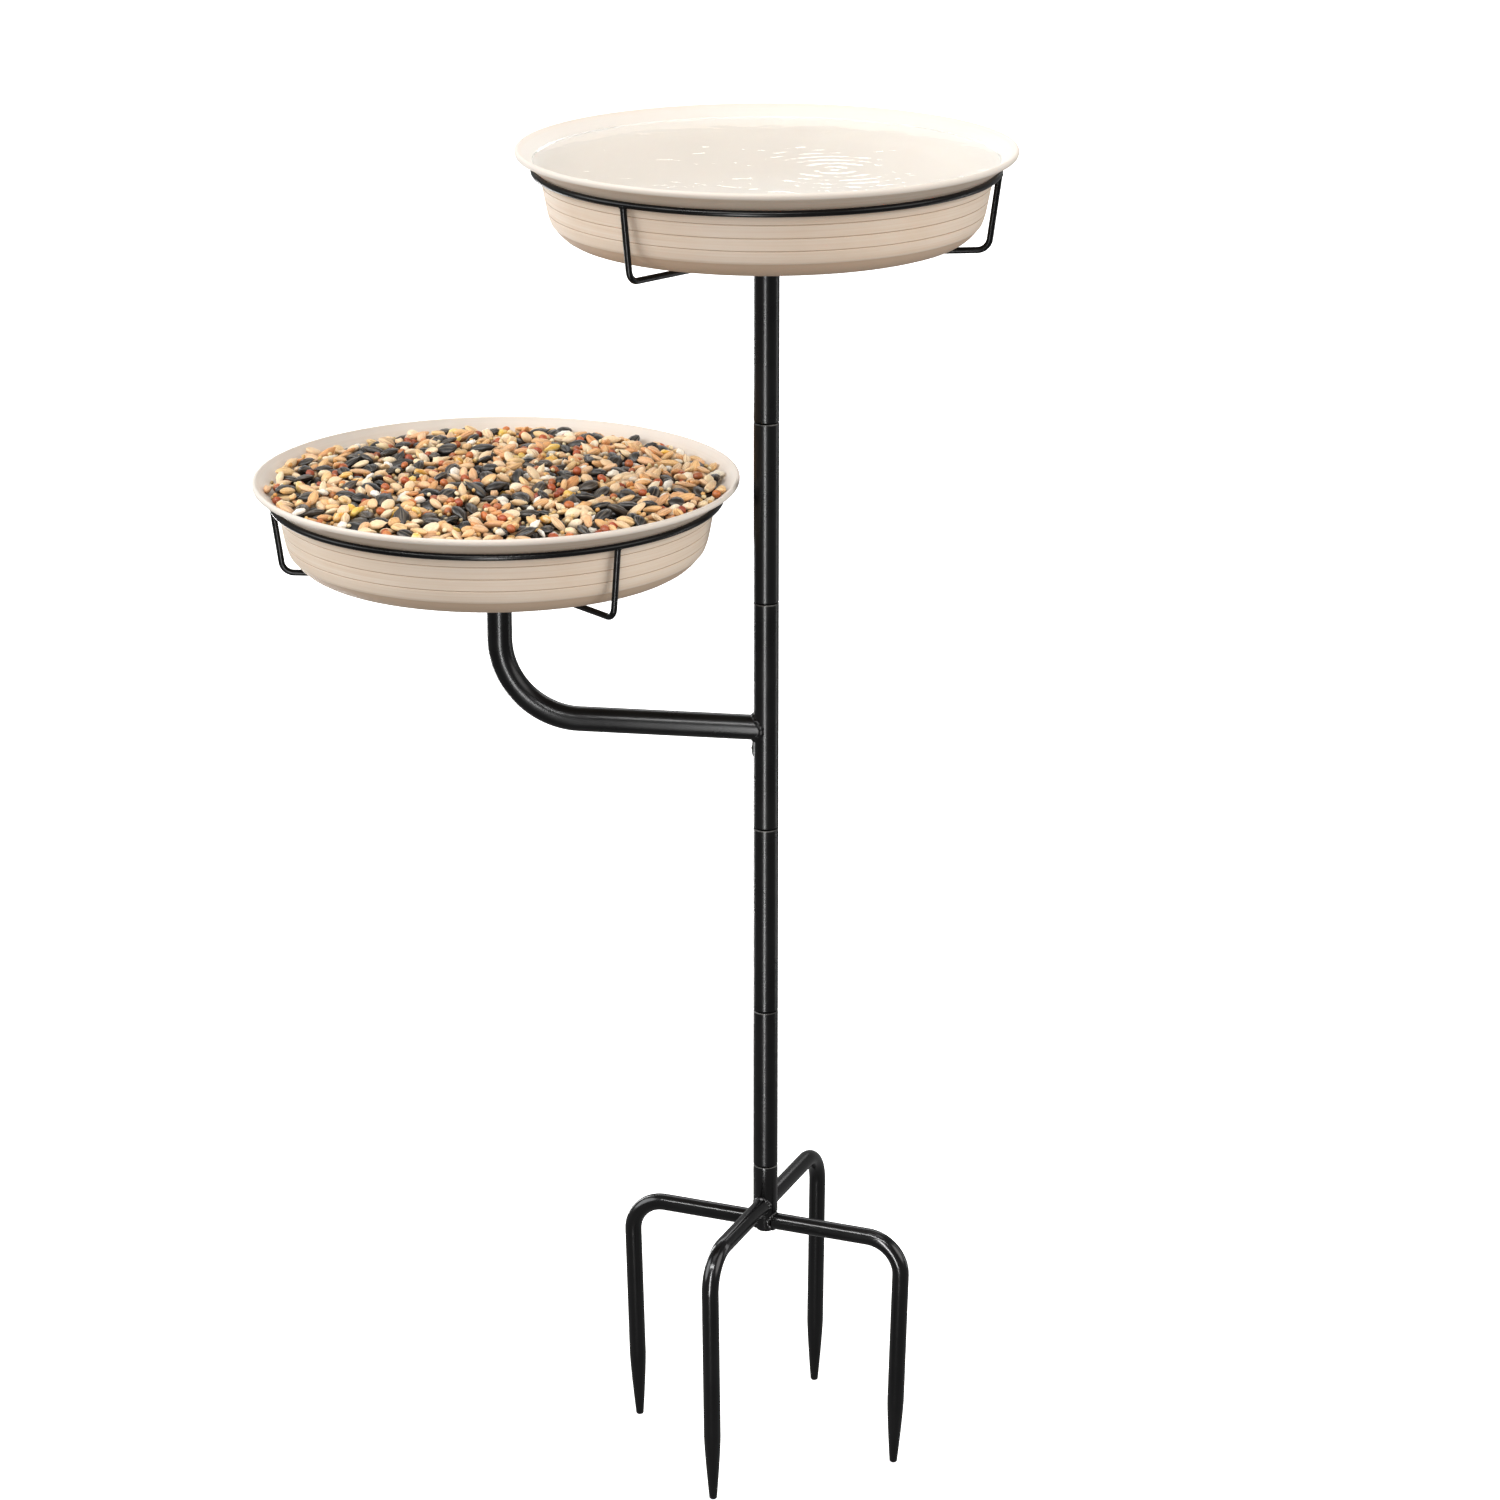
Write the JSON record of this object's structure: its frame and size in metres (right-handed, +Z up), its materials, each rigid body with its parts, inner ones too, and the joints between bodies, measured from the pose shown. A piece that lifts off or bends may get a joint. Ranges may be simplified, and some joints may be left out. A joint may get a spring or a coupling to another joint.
{
  "type": "bird bath and seed feeder on pole",
  "caption": "Bird bath and seed feeder on a plug-together round pole: ground fork, bent side arm, and flared plastic trays that lift out of wire ring cradles.",
  "frame": {"origin": "centre of the flat underside of the fork's hub, on the pole's axis, where the pushed-in fork meets the soil", "axes": "+Z up along the pole; -X towards the side arm and its seed tray"},
  "size_m": [0.476, 0.305, 0.8706],
  "materials": {
    "pole_steel": "satin black powder coat",
    "cradle_wire": "satin black powder coat",
    "tray_plastic": "moulded cream plastic with a faint stoneware streak",
    "seed": "dry mixed seed",
    "water": "clear water"
  },
  "bodies": {
    "ground_stake": {"hub_socket": "pole_steel", "hub_core": "pole_steel", "prong_front": "pole_steel", "prong_back": "pole_steel", "prong_right": "pole_steel", "prong_left": "pole_steel", "pole_tube_bottom": "pole_steel", "pole_tube_lower": "pole_steel"},
    "arm_pole": {"arm_tube": "pole_steel", "side_arm": "pole_steel", "pole_tube_upper": "pole_steel", "pole_tube_top": "pole_steel"},
    "upper_cradle": {"upper_collar": "cradle_wire", "upper_ring": "cradle_wire", "upper_leg_1": "cradle_wire", "upper_leg_2": "cradle_wire", "upper_leg_3": "cradle_wire"},
    "lower_cradle": {"lower_collar": "cradle_wire", "lower_ring": "cradle_wire", "lower_leg_1": "cradle_wire", "lower_leg_2": "cradle_wire", "lower_leg_3": "cradle_wire"},
    "water_tray": {"water_tray": "tray_plastic"},
    "seed_tray": {"seed_tray": "tray_plastic"}
  },
  "joints": [
    {"name": "arm_swivel", "type": "hinge", "parent": "ground_stake", "child": "arm_pole", "pos_m": [0, 0, 0.2805], "axis": [0, 0, 1], "continuous": true},
    {"name": "upper_cradle_swivel", "type": "hinge", "parent": "arm_pole", "child": "upper_cradle", "pos_m": [0, 0, 0.6458], "axis": [0, 0, 1], "continuous": true},
    {"name": "lower_cradle_swivel", "type": "hinge", "parent": "arm_pole", "child": "lower_cradle", "pos_m": [-0.171, 0, 0.4336], "axis": [0, 0, 1], "continuous": true},
    {"name": "water_tray_lift", "type": "slide", "parent": "upper_cradle", "child": "water_tray", "axis": [0, 0, 1], "range_m": [0, 0.08]},
    {"name": "seed_tray_lift", "type": "slide", "parent": "lower_cradle", "child": "seed_tray", "axis": [0, 0, 1], "range_m": [0, 0.08]}
  ]
}
